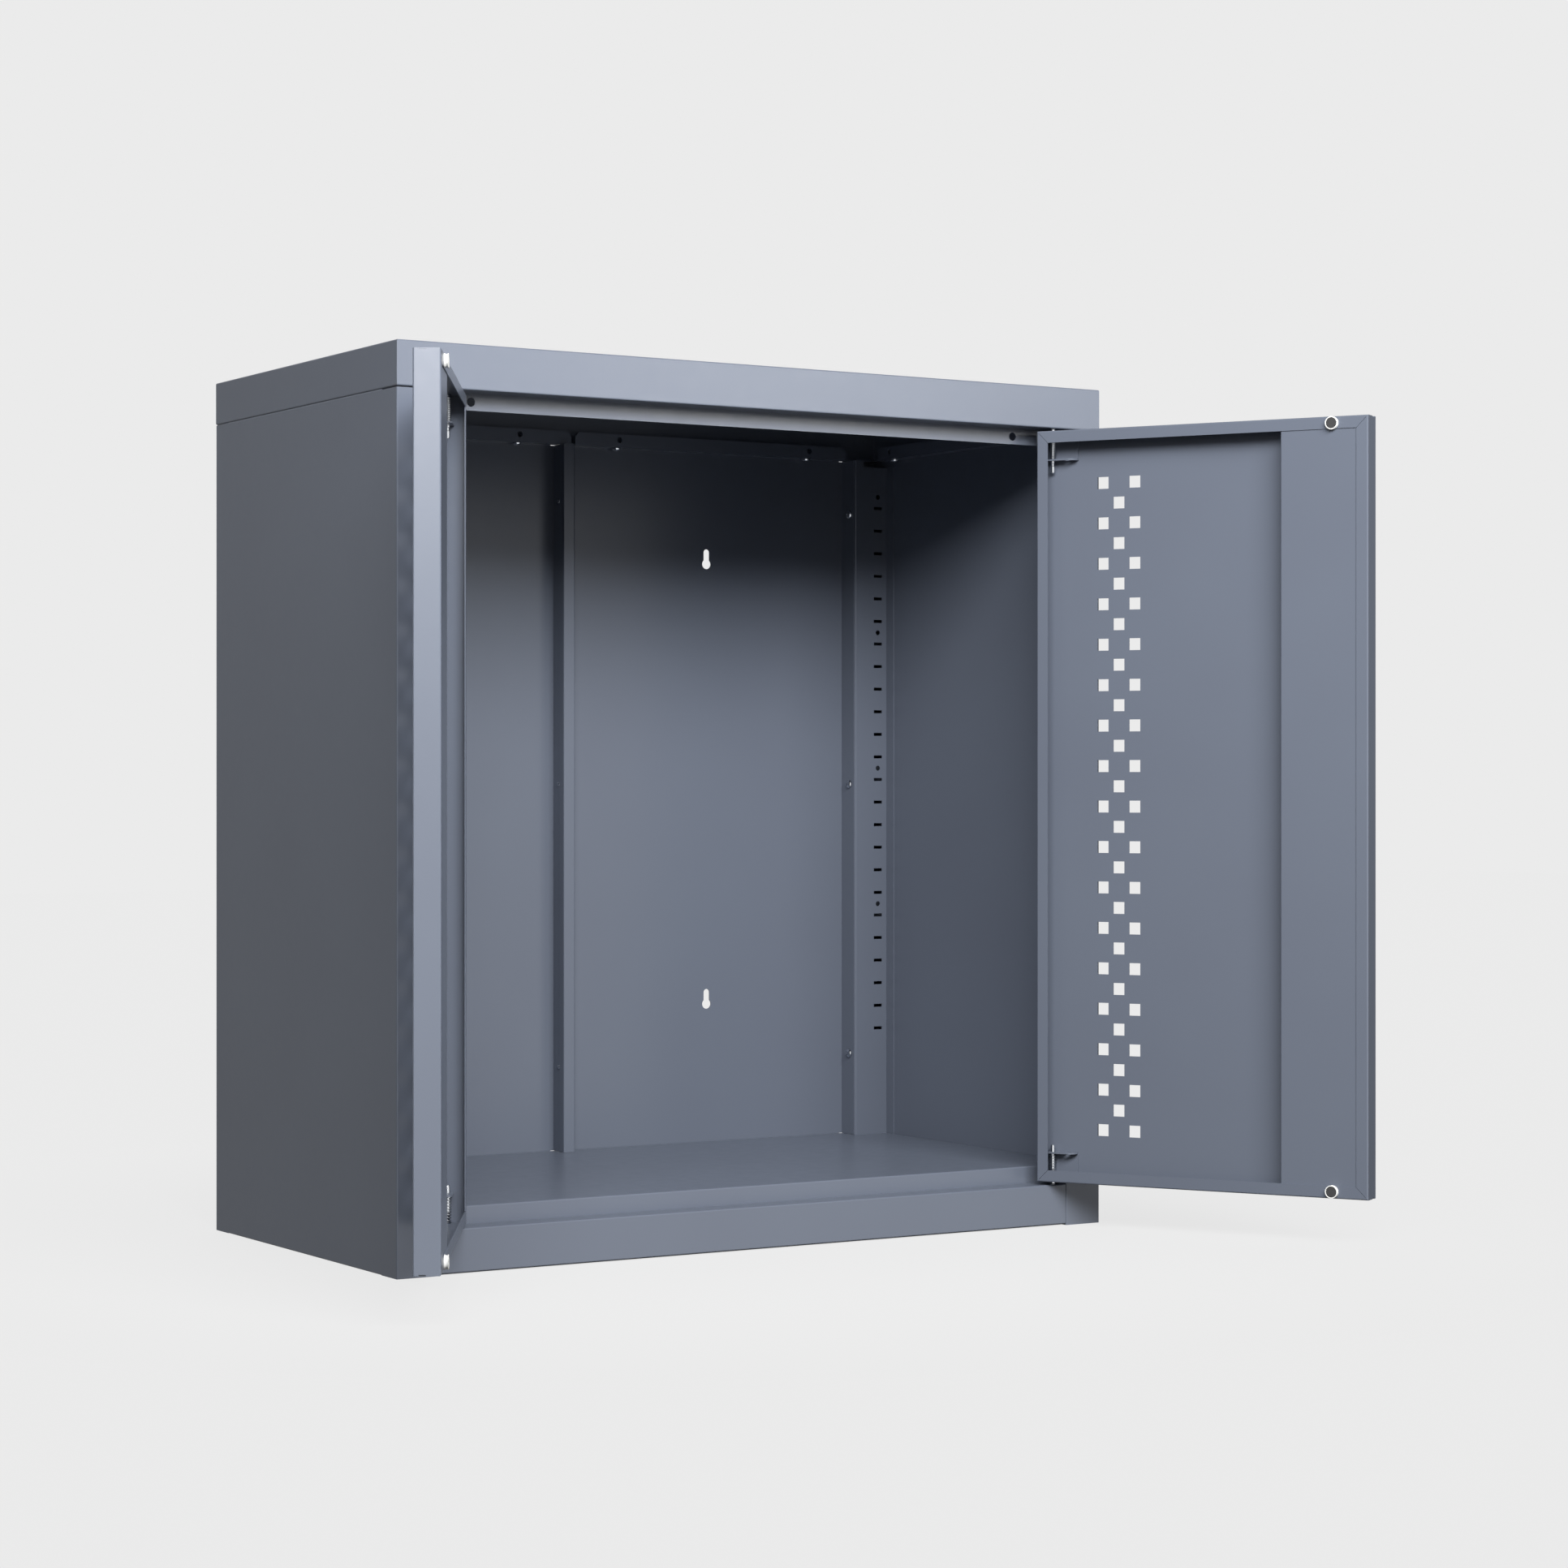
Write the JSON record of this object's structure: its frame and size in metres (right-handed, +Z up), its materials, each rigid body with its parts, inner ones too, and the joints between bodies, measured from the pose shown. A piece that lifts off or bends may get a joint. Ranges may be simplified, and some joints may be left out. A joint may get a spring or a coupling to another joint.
{
  "type": "garage cabinet",
  "caption": "Wall-hung garage cabinet of folded sheet steel with perforated swing doors on sprung pins, magnetic catches, slotted shelf uprights and keyholes in the back.",
  "frame": {"origin": "on the ground under the middle of the cabinet's body, the doors not counted", "axes": "+X to the right as seen from the front, +Y from the front to the back, +Z up"},
  "size_m": [0.8622, 0.5966, 0.71],
  "materials": {
    "powder_coat": "satin blue-grey powder coat",
    "zinc": "bright zinc plate",
    "white_plastic": "moulded white plastic",
    "magnet_face": "dark ferrite"
  },
  "bodies": {
    "cabinet": {"top_cap": "powder_coat", "bottom_pan": "powder_coat", "left_back_panel": "powder_coat", "right_back_panel": "powder_coat", "left_side_panel": "powder_coat", "right_side_panel": "powder_coat", "left_rear_upright": "powder_coat", "right_rear_upright": "powder_coat"},
    "left_door": {"left_door_shell": "powder_coat", "left_door_stiffener": "powder_coat", "left_top_hinge_bracket": "powder_coat", "left_top_hinge_spring": "zinc", "left_top_magnet_housing": "white_plastic", "left_top_magnet": "magnet_face", "left_bottom_hinge_bracket": "powder_coat", "left_bottom_hinge_spring": "zinc", "left_bottom_magnet_housing": "white_plastic", "left_bottom_magnet": "magnet_face"},
    "left_top_pin": {"left_top_hinge_pin": "zinc"},
    "left_bottom_pin": {"left_bottom_hinge_pin": "zinc"},
    "right_door": {"right_door_shell": "powder_coat", "right_door_stiffener": "powder_coat", "right_top_hinge_bracket": "powder_coat", "right_top_hinge_spring": "zinc", "right_top_magnet_housing": "white_plastic", "right_top_magnet": "magnet_face", "right_bottom_hinge_bracket": "powder_coat", "right_bottom_hinge_spring": "zinc", "right_bottom_magnet_housing": "white_plastic", "right_bottom_magnet": "magnet_face"},
    "right_top_pin": {"right_top_hinge_pin": "zinc"},
    "right_bottom_pin": {"right_bottom_hinge_pin": "zinc"}
  },
  "joints": [
    {"name": "left_door_hinge", "type": "hinge", "parent": "cabinet", "child": "left_door", "pos_m": [-0.285, -0.1695, 0.355], "axis": [0, 0, 1], "range_deg": [0, 120]},
    {"name": "left_top_pin_slide", "type": "slide", "parent": "left_door", "child": "left_top_pin", "axis": [0, 0, -1], "range_m": [0, 0.008], "stiffness_N_per_m": 600, "springref_m": -0.004, "deforming": ["left_top_hinge_spring"]},
    {"name": "left_bottom_pin_slide", "type": "slide", "parent": "left_door", "child": "left_bottom_pin", "axis": [0, 0, 1], "range_m": [0, 0.008], "stiffness_N_per_m": 600, "springref_m": -0.004, "deforming": ["left_bottom_hinge_spring"]},
    {"name": "right_door_hinge", "type": "hinge", "parent": "cabinet", "child": "right_door", "pos_m": [0.285, -0.1695, 0.355], "axis": [0, 0, 1], "range_deg": [-120, 0]},
    {"name": "right_top_pin_slide", "type": "slide", "parent": "right_door", "child": "right_top_pin", "axis": [0, 0, -1], "range_m": [0, 0.008], "stiffness_N_per_m": 600, "springref_m": -0.004, "deforming": ["right_top_hinge_spring"]},
    {"name": "right_bottom_pin_slide", "type": "slide", "parent": "right_door", "child": "right_bottom_pin", "axis": [0, 0, 1], "range_m": [0, 0.008], "stiffness_N_per_m": 600, "springref_m": -0.004, "deforming": ["right_bottom_hinge_spring"]}
  ]
}
